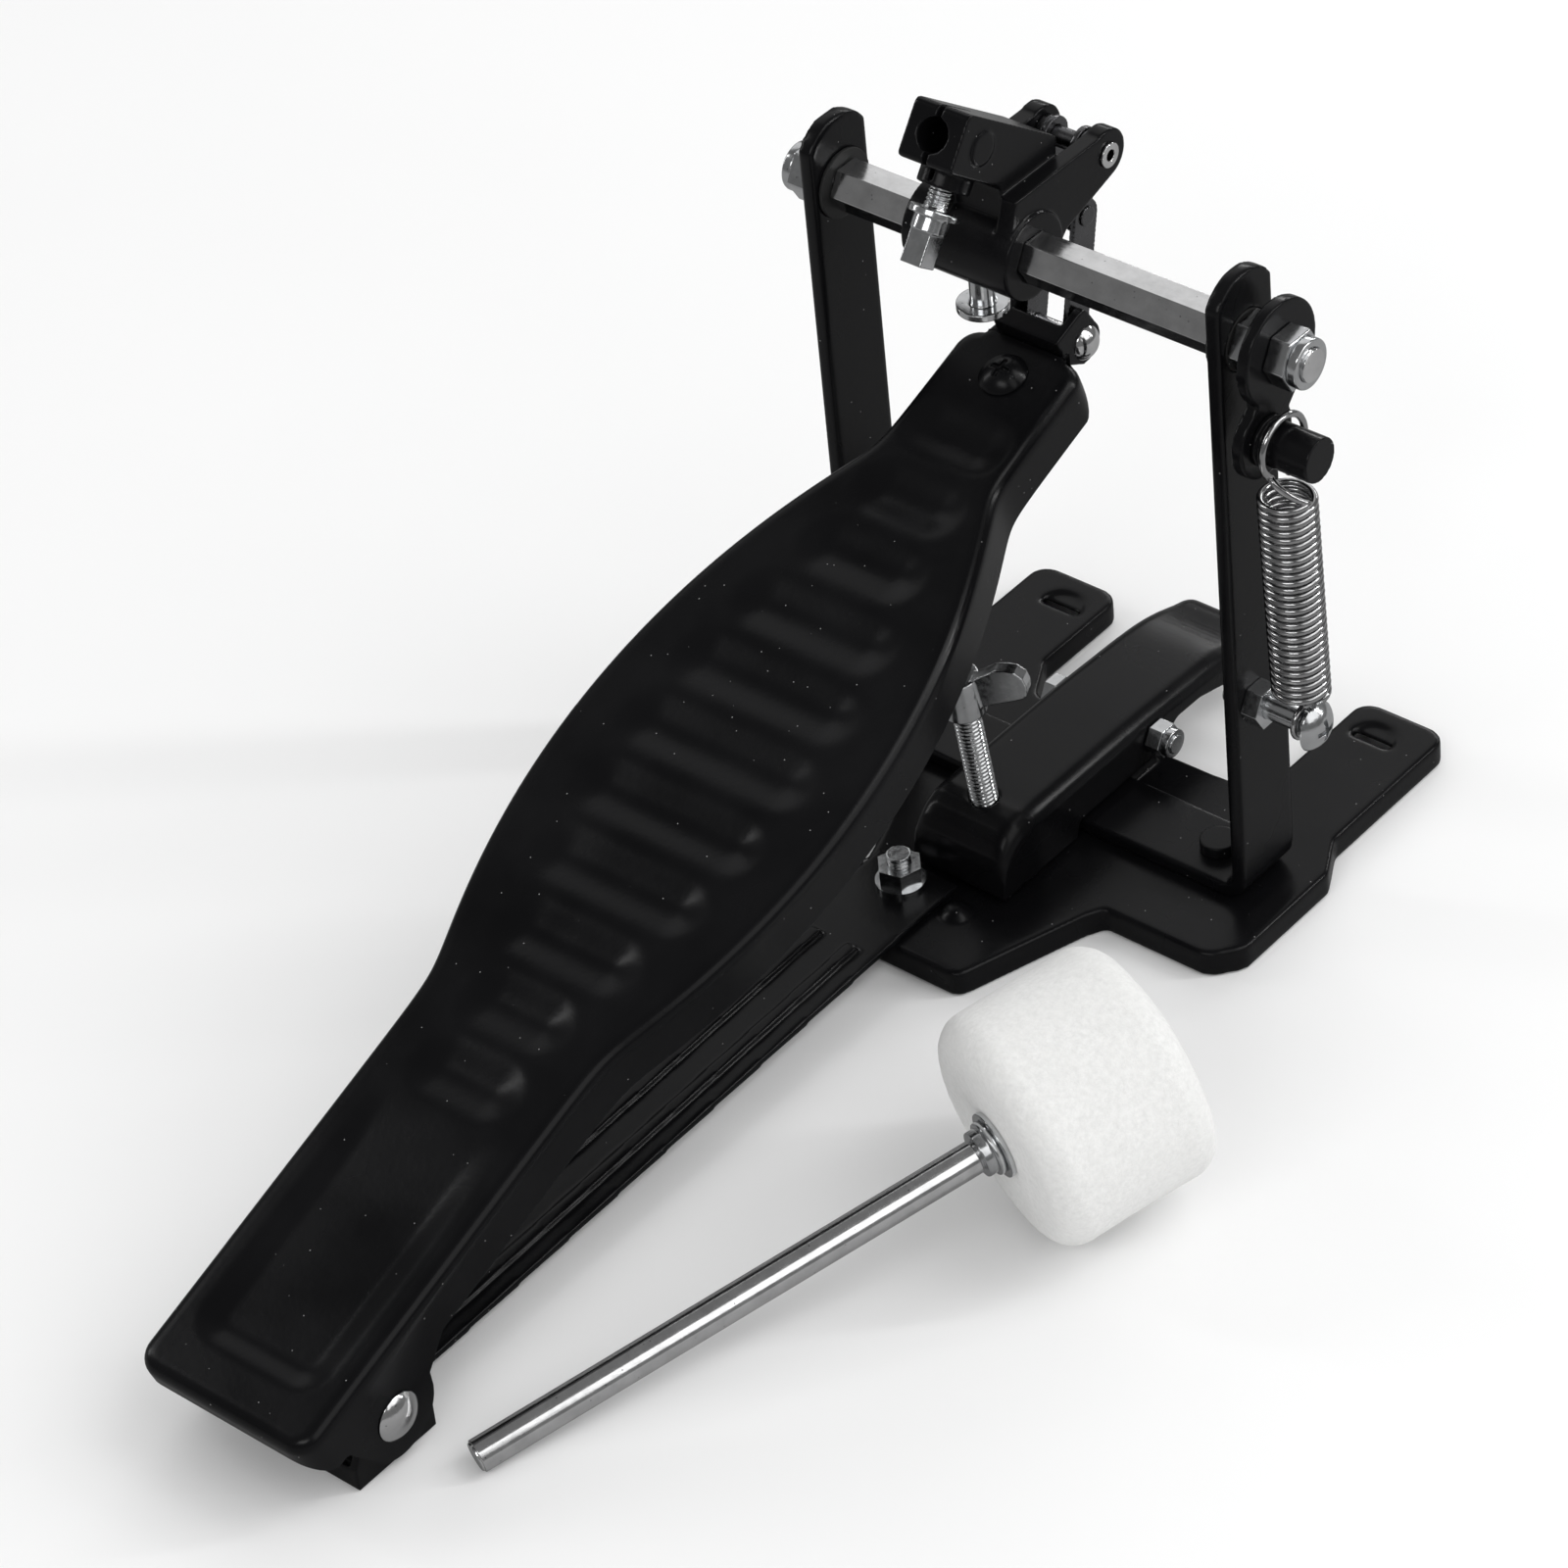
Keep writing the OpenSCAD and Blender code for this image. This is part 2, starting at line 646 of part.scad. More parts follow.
module link_pin() color(zinc) {
  x = outer_plate + plate_t;
  xrod(link_yz, link_pin_r, line_x - x, line_x + x);
  for (side = [-1, 1])
    xrod(link_yz, 2.5, line_x + (side > 0 ? x : -x - 0.6), line_x + (side > 0 ? x + 0.6 : -x));
}

// ---- footboard ----

bulge_s = 184;                   // where the bulge is widest, from the heel
bulge_r = 187;
function soft_max(a, b, k) = (a + b + sqrt((a - b) * (a - b) + k * k)) / 2;
function board_w(s) =
  let (d = s - bulge_s, arc = mid_w - bulge_r + sqrt(bulge_r * bulge_r - d * d))
  abs(d) > 150 ? (d < 0 ? heel_w : toe_w) : soft_max(arc, d < 0 ? heel_w : toe_w, 2.5);

board_corner = 6;
board_steps = 40;
function board_side(t) = [
  for (a = [90:-22.5:0]) [heel_w - t - (board_corner - t) * (1 - cos(a)),
    board_corner - (board_corner - t) * sin(a)],
  for (i = [1:board_steps]) let (s = board_corner + (board_len - 2 * board_corner) * i / board_steps)
    [board_w(s) - t, s],
  for (a = [22.5:22.5:90]) [toe_w - t - (board_corner - t) * (1 - cos(a)),
    board_len - board_corner + (board_corner - t) * sin(a)]
];
board_ear = 11.5;
groove_first = 92;               // first groove, from the heel
groove_run = 192;                // from the first groove to the last
groove_end = 19;                 // board left plain at each end of a groove

module footboard() color(black_steel) on_board() {
  skirt = 5.5;
  difference() {
    union() {
      translate([0, 0, -sheet]) linear_extrude(sheet) polygon(mirrored(board_side(0)));
      // Side flanges and a short skirt at the heel, open at the toe
      difference() {
        translate([0, 0, -flange_h]) linear_extrude(flange_h) polygon(mirrored(board_side(0)));
        translate([0, 0, -flange_h - 1]) linear_extrude(flange_h + 2) polygon(mirrored(board_side(sheet)));
        translate([-toe_w + sheet, board_len - 12, -flange_h - 1])
          cube([2 * (toe_w - sheet), 20, flange_h + 2]);
        translate([-heel_w + board_corner, -5, -flange_h - 1])
          cube([2 * (heel_w - board_corner), 11, flange_h - skirt + 1]);
      }
      // Ears round the heel pin
      for (side = [-1, 1]) let (x1 = side > 0 ? heel_w - sheet : -heel_w)
        xplate(x1, x1 + sheet) {
          translate([pin_from_heel, -pin_below_top]) circle(board_ear);
          polygon([[board_corner + 2, -flange_h + 2], [pin_from_heel - 9, -pin_below_top - 7.2],
            [pin_from_heel + board_ear, -pin_below_top], [pin_from_heel + 20, -flange_h],
            [pin_from_heel + 20, -flange_h + 2]]);
        }
    }
    xrod([pin_from_heel, -pin_below_top], heel_pin_r + clear, -40, 40);
    // Cross grooves with round ends
    for (i = [0:grooves - 1]) let (s = groove_first + i * groove_run / (grooves - 1))
      groove(s, max(board_w(s) - groove_end, 9));
    // Sunk heel panel
    translate([-16, 14, -0.8]) cube([32, 62, 2]);
    translate([0, toe_screw_s, -10]) cylinder(r = 3, h = 20);
  }
}

module groove(s, half) {
  translate([-half, s - 3, -0.9]) cube([2 * half, 6, 2]);
  for (side = [-1, 1]) translate([side * half, s, -0.9]) cylinder(r = 3, h = 2);
}

clevis_half = 9.5;
clevis_t = 2.4;
clevis_top = 4;                  // top of the clevis above the board's top face
clevis_hood = 5;
toe_screw_s = board_len - 10;

module toe_clevis() color(black_steel) on_board() difference() {
  union() {
    // Tongue under the board's sheet
    translate([-clevis_half, board_len - 20, -sheet - clevis_t]) cube([2 * clevis_half, 23, clevis_t]);
    // Upright web past the toe edge, bent over into a short hood
    translate([-clevis_half, board_len + 0.6, -sheet - clevis_t])
      cube([2 * clevis_half, clevis_t, sheet + clevis_t + clevis_top]);
    translate([-clevis_half, board_len + 0.6, clevis_top - clevis_t])
      cube([2 * clevis_half, clevis_hood, clevis_t]);
    for (side = [-1, 1]) let (x1 = side > 0 ? clevis_half - clevis_t : -clevis_half)
      xplate(x1, x1 + clevis_t) {
        translate([board_len + clevis_pin_s, clevis_pin_h]) circle(5.4);
        polygon(rounded([[board_len + 0.6, -sheet - clevis_t, 0], [board_len + 6, -10.2, 0],
          [board_len + clevis_pin_s + 5.4, clevis_pin_h, 0], [board_len + clevis_pin_s + 3.6, clevis_top, 2.5],
          [board_len + 0.6, clevis_top, 0]], 3));
      }
  }
  xrod([board_len + clevis_pin_s, clevis_pin_h], fork_pin_r, -12, 12);
  translate([0, toe_screw_s, -10]) cylinder(r = 3, h = 20);
}

module toe_screw() color(black_steel) on_board() translate([0, toe_screw_s, 0]) {
  difference() {
    intersection() {
      translate([0, 0, -3.6]) sphere(7.2);
      cylinder(r = 6, h = 5);
    }
    for (a = [0, 90]) rotate([0, 0, a]) translate([-2.6, -0.6, 2.2]) cube([5.2, 1.2, 3]);
  }
  translate([0, 0, -12]) cylinder(r = 3, h = 12);
}

module toe_nut() color(zinc) on_board()
  translate([0, toe_screw_s, -sheet - clevis_t - 4.8]) difference() {
    cylinder(r = 5 / cos(30), h = 4.8, $fn = 6);
    translate([0, 0, -1]) cylinder(r = 3, h = 8);
  }

module clevis_pin() color(zinc) {
  xrod(clevis_yz, fork_pin_r, line_x - clevis_half - 4.6, line_x + clevis_half);
  translate([line_x, 0, 0]) dome(clevis_yz, 4.4, 2.6, clevis_half);
}

module clevis_nut() color(zinc) difference() {
  xhex(clevis_yz, 8, line_x - clevis_half - 4, line_x - clevis_half);
  xrod(clevis_yz, fork_pin_r, line_x - clevis_half - 5, line_x - clevis_half + 1);
}

// ---- return spring ----

coil_r = (spring_od - wire_d) / 2;
coil_low = 8.2;                  // where the coil starts, from the screw's centre
coil_high = 12.6;                // where the coil ends, below the post's centre
coil_len = spring_len - coil_low - coil_high;

// A solid drawn with +Z along the spring from the screw's centre
module on_spring() {
  translate([spring_x, spring_screw_yz.x, spring_screw_yz.y]) rotate([spring_lean, 0, 0]) children();
}

// Loop of wire of centre radius r, in the plane square to X
module wire_loop(r) {
  rotate([0, 90, 0]) rotate_extrude() translate([r, 0]) circle(wire_d / 2, $fn = 16);
}

module return_spring() color(zinc) on_spring() {
  difference() {
    translate([0, 0, coil_low]) cylinder(r = spring_od / 2, h = coil_len);
    translate([0, 0, coil_low - 1]) cylinder(r = spring_od / 2 - wire_d, h = coil_len + 2);
  }
  // Lower hook round the screw, with its tail rising to the first turn
  wire_loop(3 + wire_d / 2 + 0.06);
  translate([0, 0, 3 + wire_d / 2]) cylinder(r = wire_d / 2 - 0.1, h = coil_low - 3);
  translate([0, 0, coil_low]) cylinder(r = coil_r, h = wire_d);
}

module spring_top_hook() color(zinc) on_spring() translate([0, 0, spring_len]) {
  r = spring_post_r + hook_play + wire_d / 2;
  wire_loop(r);
  translate([0, 0, -coil_high + 0.05]) cylinder(r = wire_d / 2, h = coil_high - r);
  translate([0, 0, -coil_high + 0.05]) cylinder(r = spring_od / 2 - 0.2, h = wire_d);
}

module spring_screw() color(zinc) {
  head_x = spring_x + 3.4;
  xrod(spring_screw_yz, 3, post_x - strap_t - 3, head_x);
  difference() {
    dome(spring_screw_yz, 6.2, 3.4, head_x);
    translate([head_x + 1.6, spring_screw_yz.x, spring_screw_yz.y]) {
      translate([0, -2.8, -0.65]) cube([4, 5.6, 1.3]);
      translate([0, -0.65, -2.8]) cube([4, 1.3, 5.6]);
    }
  }
}

module spring_screw_nut() color(zinc) difference() {
  xhex(spring_screw_yz, 10, post_x, post_x + 4.6);
  xrod(spring_screw_yz, 3, post_x - 1, post_x + 6);
}

// ---- beater ----

// A solid drawn with +X along the beater from the shaft's free end
module on_beater() {
  translate(beater_end) rotate([0, -beater_tilt, beater_heading]) children();
}

shaft_len = head_start + head_len - 0.5;
recess_r = 9.5;                  // recess in the felt's far end that holds the washer and nut
recess_x = head_start + head_len - 7.2;
core_r = shaft_d / 2 - 0.6;      // the shaft turned down inside the head

module beater_shaft() color("#d4d6d8") on_beater() {
  xrod([0, 0], shaft_d / 2 - 0.5, 0, 1);
  xrod([0, 0], shaft_d / 2, 0.5, shaft_out - 1.5);
  xrod([0, 0], core_r, shaft_out - 2, shaft_len);
}

module beater_head() color("white") on_beater() {
  r = head_d / 2;
  floor_x = recess_x - head_start;
  outline = rounded([[core_r, 0, 0], [r, 0, head_rim], [r, head_len, head_rim],
    [recess_r, head_len, 0], [recess_r, floor_x, 0], [core_r, floor_x, 0]], 6);
  translate([head_start, 0, 0]) rotate([0, 90, 0]) rotate_extrude($fn = 64) polygon(outline);
}

module beater_collar() color(zinc) on_beater() difference() {
  union() {
    xrod([0, 0], 5.6, shaft_out - 0.9, head_start - 3);
    xrod([0, 0], 6.6, head_start - 3, head_start - 1.4);
  }
  xrod([0, 0], core_r, 0, shaft_len);
}

module beater_washers() color(zinc) on_beater() for (x = [head_start - 1.4, recess_x]) difference() {
  xrod([0, 0], 8.2, x, x + 1.4);
  xrod([0, 0], core_r, 0, shaft_len);
}

module beater_nut() color(zinc) on_beater() difference() {
  xhex([0, 0], 13, recess_x + 1.4, recess_x + 6.4);
  xrod([0, 0], core_r, 0, shaft_len + 1);
}

base_plate();
post_frame();
frame_rivets();
bearing_bushes();
floor_rail();
rail_bolt();
rail_nut();
heel_bracket();
bracket_rivets();
heel_pin();
jaw_pivot_bolt();
jaw_pivot_nut();
spring_screw();
spring_screw_nut();
hoop_jaw();
wing_bolt();
axle();
hub();
hub_set_screw();
fork_pin();
fork_spacers();
axle_collar();
spring_lever();
spring_post();
axle_nuts();
axle_washer();
beater_clamp_bolt();
upper_link();
lower_link();
link_pin();
footboard();
toe_clevis();
toe_screw();
toe_nut();
clevis_pin();
clevis_nut();
return_spring();
spring_top_hook();
beater_shaft();
beater_head();
beater_collar();
beater_washers();
beater_nut();
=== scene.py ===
"""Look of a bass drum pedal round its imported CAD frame: pressed and coated steel, plated
fasteners, a wire spring and a felt beater. Metres, +Z up, +Y towards the drum."""

import json
import math

import bmesh
import bpy
import numpy as np
from mathutils import Matrix, Vector, noise


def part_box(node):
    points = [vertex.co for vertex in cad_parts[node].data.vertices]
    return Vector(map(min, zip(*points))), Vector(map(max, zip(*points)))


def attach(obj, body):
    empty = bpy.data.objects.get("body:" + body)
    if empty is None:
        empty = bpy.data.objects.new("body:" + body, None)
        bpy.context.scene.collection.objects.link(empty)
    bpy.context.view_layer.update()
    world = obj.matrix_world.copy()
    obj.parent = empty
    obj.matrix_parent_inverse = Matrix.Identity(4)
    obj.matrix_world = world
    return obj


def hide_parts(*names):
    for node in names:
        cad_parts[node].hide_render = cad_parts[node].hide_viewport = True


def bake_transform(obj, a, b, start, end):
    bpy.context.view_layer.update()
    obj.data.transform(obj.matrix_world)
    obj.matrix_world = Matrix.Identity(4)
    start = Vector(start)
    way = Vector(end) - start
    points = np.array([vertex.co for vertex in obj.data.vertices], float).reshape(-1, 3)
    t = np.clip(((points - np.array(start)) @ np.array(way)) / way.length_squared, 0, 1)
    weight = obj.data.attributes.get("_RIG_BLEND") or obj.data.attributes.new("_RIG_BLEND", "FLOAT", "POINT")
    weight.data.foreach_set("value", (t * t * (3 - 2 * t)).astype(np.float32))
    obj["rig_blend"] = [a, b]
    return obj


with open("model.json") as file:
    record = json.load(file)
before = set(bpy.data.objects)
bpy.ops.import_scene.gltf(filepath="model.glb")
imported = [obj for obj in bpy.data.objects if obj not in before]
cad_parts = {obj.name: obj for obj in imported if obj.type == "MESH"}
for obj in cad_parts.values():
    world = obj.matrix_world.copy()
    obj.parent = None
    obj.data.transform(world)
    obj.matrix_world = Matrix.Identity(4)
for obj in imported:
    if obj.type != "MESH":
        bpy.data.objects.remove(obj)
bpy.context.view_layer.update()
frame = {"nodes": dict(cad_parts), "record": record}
RECORD = frame["record"]
BODY = {n: body for body, nodes in RECORD["behaviour"]["bodies"].items() for n in nodes}
JOINT = {j["name"]: j for j in RECORD["behaviour"]["joints"]}
MM = 0.001
LINE_X = -0.012


# ---- camera and light ----

def aim(az, el):
    """Unit vectors forward, right and up of a level camera that looks along az, el degrees."""
    a, e = math.radians(az), math.radians(el)
    forward = Vector((-math.sin(a) * math.cos(e), math.cos(a) * math.cos(e), -math.sin(e)))
    right = Vector((math.cos(a), math.sin(a), 0))
    return forward, right, right.cross(forward)


CAMERA = {"az": 43.78, "el": 39.11, "roll": -6.27, "lens": 136.4, "distance": 1.3419}
LOOK_AT = (0.00131, -0.10125, 0.08)


def make_camera():
    forward, right, up = aim(CAMERA["az"], CAMERA["el"])
    roll = math.radians(CAMERA["roll"])
    x = math.cos(roll) * right + math.sin(roll) * up
    y = -math.sin(roll) * right + math.cos(roll) * up
    data = bpy.data.cameras.new("camera")
    data.sensor_width = 36
    data.lens = CAMERA["lens"]
    data.clip_start = 0.01
    data.clip_end = 50
    cam = bpy.data.objects.new("camera", data)
    bpy.context.collection.objects.link(cam)
    spot = Vector(LOOK_AT) - forward * CAMERA["distance"]
    cam.matrix_world = Matrix.Translation(spot) @ Matrix((x, y, -forward)).transposed().to_4x4()
    bpy.context.scene.camera = cam


def area_light(name, az, el, dist, size, power, target=(0, -0.09, 0.08)):
    """A soft panel that stands at compass az (0 is the heel side) and height el, facing the target."""
    a, e = math.radians(az), math.radians(el)
    spot = Vector(target) + dist * Vector(
        (math.sin(a) * math.cos(e), -math.cos(a) * math.cos(e), math.sin(e)))
    data = bpy.data.lights.new(name, "AREA")
    data.shape = "RECTANGLE"
    data.size, data.size_y = size
    data.energy = power
    obj = bpy.data.objects.new(name, data)
    bpy.context.collection.objects.link(obj)
    obj.location = spot
    obj.rotation_euler = (Vector(target) - spot).to_track_quat("-Z", "Y").to_euler()
    return obj


# Ambient level seen by glossy rays and by diffuse rays
AMBIENT = 0.16, 0.55

# Name, compass az, height el, distance, panel size, power
LIGHTS = (
    ("key", 120, 62, 1.5, (0.6, 0.6), 2.5),
    ("fill", 15, 40, 1.7, (0.9, 0.4), 5),
    ("back", -136, 38, 1.7, (1.7, 1.0), 3.4),
    ("edge", 132, 31, 1.6, (0.08, 0.9), 5),
    ("rim", -170, 20, 1.6, (1.2, 0.12), 4),
    ("side", -70, 28, 1.5, (0.12, 1.0), 3),
    ("shaft", 94, 42, 1.6, (1.5, 1.2), 7),
)


def make_studio():
    world = bpy.data.worlds.new("studio")
    world.use_nodes = True
    back = world.node_tree.nodes["Background"]
    back.inputs["Color"].default_value = (1, 1, 1, 1)
    tree = world.node_tree
    path = tree.nodes.new("ShaderNodeLightPath")
    level = tree.nodes.new("ShaderNodeMapRange")
    level.inputs["To Min"].default_value = AMBIENT[0]
    level.inputs["To Max"].default_value = AMBIENT[1]
    tree.links.new(path.outputs["Is Diffuse Ray"], level.inputs["Value"])
    tree.links.new(level.outputs["Result"], back.inputs["Strength"])
    bpy.context.scene.world = world
    bpy.context.scene.view_settings.view_transform = "Standard"
    for row in LIGHTS:
        area_light(*row)


# ---- materials ----

class Nodes:
    """Short calls for a material's node tree."""

    def __init__(self, name):
        self.mat = bpy.data.materials.new(name)
        self.mat.use_nodes = True
        self.tree = self.mat.node_tree
        self.bsdf = self.tree.nodes["Principled BSDF"]

    def new(self, kind, **values):
        node = self.tree.nodes.new(kind)
        for key, value in values.items():
            if key in node.inputs:
                node.inputs[key].default_value = value
            else:
                setattr(node, key, value)
        return node

    def link(self, out, socket):
        self.tree.links.new(out, socket)

    def place(self, scale=(1, 1, 1), turn=0.0):
        """Object coordinates, turned about Z and then stretched along an axis by scale."""
        out = self.new("ShaderNodeTexCoord").outputs["Object"]
        for key, value in (("Rotation", (0, 0, turn)), ("Scale", scale)):
            mapping = self.new("ShaderNodeMapping")
            mapping.inputs[key].default_value = value
            self.link(out, mapping.inputs["Vector"])
            out = mapping.outputs["Vector"]
        return out

    def noise(self, vector, scale, detail=4.0, rough=0.55):
        node = self.new("ShaderNodeTexNoise", Scale=scale, Detail=detail, Roughness=rough)
        self.link(vector, node.inputs["Vector"])
        return node.outputs["Fac"]

    def spread(self, value, low, high, lo_in=0.3, hi_in=0.7):
        node = self.new("ShaderNodeMapRange")
        for key, number in (("From Min", lo_in), ("From Max", hi_in), ("To Min", low), ("To Max", high)):
            node.inputs[key].default_value = number
        self.link(value, node.inputs["Value"])
        return node.outputs["Result"]

    def mix(self, factor, a, b):
        node = self.new("ShaderNodeMix", data_type="RGBA")
        self.link(factor, node.inputs["Factor"])
        for socket, value in ((node.inputs[6], a), (node.inputs[7], b)):
            if isinstance(value, tuple):
                socket.default_value = (*value, 1)
            else:
                self.link(value, socket)
        return node.outputs[2]

    def bump(self, height, strength, distance, below=None):
        node = self.new("ShaderNodeBump", Strength=strength, Distance=distance)
        self.link(height, node.inputs["Height"])
        if below is not None:
            self.link(below, node.inputs["Normal"])
        return node.outputs["Normal"]

    def specks(self, vector, scale, reach):
        """1 in small spots scattered over the surface, 0 elsewhere."""
        node = self.new("ShaderNodeTexVoronoi", Scale=scale)
        self.link(vector, node.inputs["Vector"])
        return self.spread(node.outputs["Distance"], 1, 0, reach * 0.6, reach)


def coated(name, base, rough, grain, grain_depth):
    """Black powder coat: faint orange peel, uneven sheen, dust and rubbed edges."""
    n = Nodes(name)
    at = n.place()
    patches = n.noise(at, 35, 3)
    peel = n.noise(at, grain, 2)
    dust = n.specks(at, 260, 0.045)
    geo = n.new("ShaderNodeNewGeometry")
    worn = n.spread(geo.outputs["Pointiness"], 0, 1, 0.56, 0.66)
    scuff = n.noise(at, 900, 5, 0.7)
    rub = n.new("ShaderNodeMath", operation="MULTIPLY")
    n.link(worn, rub.inputs[0])
    n.link(n.spread(scuff, 0, 0.55, 0.45, 0.62), rub.inputs[1])
    body = n.mix(n.spread(patches, 0, 1), tuple(c * 0.8 for c in base), tuple(c * 1.3 for c in base))
    body = n.mix(rub.outputs[0], body, (0.075, 0.075, 0.078))
    body = n.mix(dust, body, (0.30, 0.30, 0.30))
    n.link(body, n.bsdf.inputs["Base Color"])
    n.link(n.spread(patches, rough - 0.05, rough + 0.07), n.bsdf.inputs["Roughness"])
    n.bsdf.inputs["Specular IOR Level"].default_value = 0.17
    bump = n.bump(peel, 0.30, grain_depth)
    n.link(n.bump(dust, 0.35, 0.00006, bump), n.bsdf.inputs["Normal"])
    return n.mat


def plated(name, base, rough, stretch, scratch, depth, turn=0.0):
    """Plated steel: drawn lines along one axis, mottled plating and faint stains."""
    n = Nodes(name)
    lines = n.noise(n.place(stretch, turn), scratch, 3, 0.6)
    at = n.place()
    stain = n.noise(at, 190, 4)
    spots = n.specks(at, 420, 0.10)
    tone = n.mix(n.spread(stain, 0, 1, 0.35, 0.75), base, tuple(c * 0.80 for c in base))
    tone = n.mix(spots, tone, tuple(c * 0.45 for c in base))
    n.link(tone, n.bsdf.inputs["Base Color"])
    n.bsdf.inputs["Metallic"].default_value = 1.0
    n.link(n.spread(lines, rough - 0.04, rough + 0.08), n.bsdf.inputs["Roughness"])
    n.link(n.bump(lines, 0.25, depth), n.bsdf.inputs["Normal"])
    return n.mat


def felted(name):
    """Dense white felt: short matted fibres, soft lumps and painted shade: a greyer tone in the hollows,
    keyed to the lumps.
    """
    n = Nodes(name)
    at = n.place()
    wool = n.noise(at, 700, 8, 0.75)
    fibre = n.noise(n.place((1, 3.5, 1)), 1500, 6, 0.7)
    lumps = n.noise(at, 90, 4)
    tone = n.mix(n.spread(wool, 0, 1, 0.35, 0.65), (0.72, 0.72, 0.71), (0.86, 0.86, 0.85))
    # Painted shade: the lumps noise that raises the bump also greys the felt's colour.
    tone = n.mix(n.spread(lumps, 0, 0.5), tone, (0.79, 0.79, 0.775))
    n.link(tone, n.bsdf.inputs["Base Color"])
    n.link(n.spread(fibre, 0.86, 1.0), n.bsdf.inputs["Roughness"])
    n.bsdf.inputs["Sheen Weight"].default_value = 0.35
    n.bsdf.inputs["Sheen Roughness"].default_value = 0.6
    n.bsdf.inputs["Specular IOR Level"].default_value = 0.15
    bump = n.bump(lumps, 0.5, 0.0006)
    bump = n.bump(wool, 0.55, 0.0004, bump)
    n.link(n.bump(fibre, 0.5, 0.00025, bump), n.bsdf.inputs["Normal"])
    return n.mat


def floor_paper():
    """White paper that shows darker in glossy reflections."""
    n = Nodes("studio_paper")
    at = n.place()
    tone = n.mix(n.noise(at, 8, 3), (0.86, 0.86, 0.86), (0.88, 0.88, 0.88))
    n.link(tone, n.bsdf.inputs["Base Color"])
    n.bsdf.inputs["Roughness"].default_value = 0.9
    n.bsdf.inputs["Specular IOR Level"].default_value = 0.1
    ray = n.new("ShaderNodeLightPath")
    dim = n.new("ShaderNodeBsdfDiffuse")
    dim.inputs["Color"].default_value = (0.32, 0.32, 0.32, 1)
    both = n.new("ShaderNodeMixShader")
    n.link(ray.outputs["Is Glossy Ray"], both.inputs[0])
    n.link(n.bsdf.outputs[0], both.inputs[1])
    n.link(dim.outputs[0], both.inputs[2])
    n.link(both.outputs[0], n.tree.nodes["Material Output"].inputs["Surface"])
    return n.mat


COAT = coated("black_coated_steel", (0.0035, 0.0035, 0.004), 0.24, 620, 0.00007)
CAST = coated("black_coated_casting", (0.0035, 0.0035, 0.004), 0.22, 480, 0.00010)
DARK = plated("black_nickel_steel", (0.13, 0.13, 0.135), 0.24, (1, 1, 1), 800, 0.000012)
BRIGHT = plated("bright_steel", (0.78, 0.78, 0.785), 0.12, (1, 14, 14), 160, 0.000006)
DRAWN = plated("drawn_bright_steel", (0.86, 0.86, 0.865), 0.13, (1, 14, 14), 160, 0.000006,
               -math.radians(68.5))
ZINC = plated("zinc_plated_steel", (0.66, 0.67, 0.68), 0.17, (1, 1, 1), 700, 0.00001)
WIRE = plated("spring_steel", (0.46, 0.46, 0.465), 0.15, (1, 1, 1), 900, 0.000008)
BUSH = coated("dark_bush", (0.02, 0.02, 0.02), 0.45, 900, 0.00005)
FELT = felted("white_felt")
MATERIAL = {
    "black_coated_steel": COAT, "black_coated_casting": CAST, "bright_steel": BRIGHT,
    "zinc_plated_steel": ZINC, "spring_steel": WIRE, "felt": FELT, "bush": BUSH,
}
SLOT = {s["node"]: s["material_slot"] for s in RECORD["subparts"]}


# ---- mesh helpers ----

def add_object(name, mesh):
    obj = bpy.data.objects.new(name, mesh)
    bpy.context.collection.objects.link(obj)
    return obj


def mesh_from(name, points, faces):
    mesh = bpy.data.meshes.new(name)
    mesh.from_pydata([tuple(p) for p in points], [], faces)
    mesh.validate()
    return add_object(name, mesh)


def baked(obj):
    """Applies obj's modifiers."""
    graph = bpy.context.evaluated_depsgraph_get()
    mesh = bpy.data.meshes.new_from_object(obj.evaluated_get(graph))
    obj.modifiers.clear()
    obj.data = mesh
    return obj


def smooth(obj, angle=None):
    mesh = obj.data
    mesh.polygons.foreach_set("use_smooth", [True] * len(mesh.polygons))
    if angle is not None:
        mesh.set_sharp_from_angle(angle=math.radians(angle))
    mesh.update()
    return obj


def dress(obj, node, material=None):
    """obj takes the node's place, body and slot, and its material."""
    slot = SLOT[node]
    obj.data.materials.clear()
    obj.data.materials.append(material or MATERIAL[slot])
    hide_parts(node)
    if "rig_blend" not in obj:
        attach(obj, BODY[node])
    return obj


def coords(obj):
    out = np.empty(len(obj.data.vertices) * 3)
    obj.data.vertices.foreach_get("co", out)
    return out.reshape(-1, 3)


def set_coords(obj, co):
    obj.data.vertices.foreach_set("co", co.astype(np.float32).ravel())
    obj.data.update()


def soften(node, voxel, rounds, keep=1.0):
    """A copy of a CAD node with every edge eased, as coating, casting or plating leaves it."""
    source = frame["nodes"][node]
    obj = add_object("soft_" + node, source.data.copy())
    remesh = obj.modifiers.new("remesh", "REMESH")
    remesh.mode = "VOXEL"
    remesh.voxel_size = voxel * MM
    if rounds:
        ease = obj.modifiers.new("ease", "SMOOTH")
        ease.factor = 0.5
        ease.iterations = rounds
    if keep < 1:
        thin = obj.modifiers.new("thin", "DECIMATE")
        thin.ratio = keep
    return smooth(baked(obj))


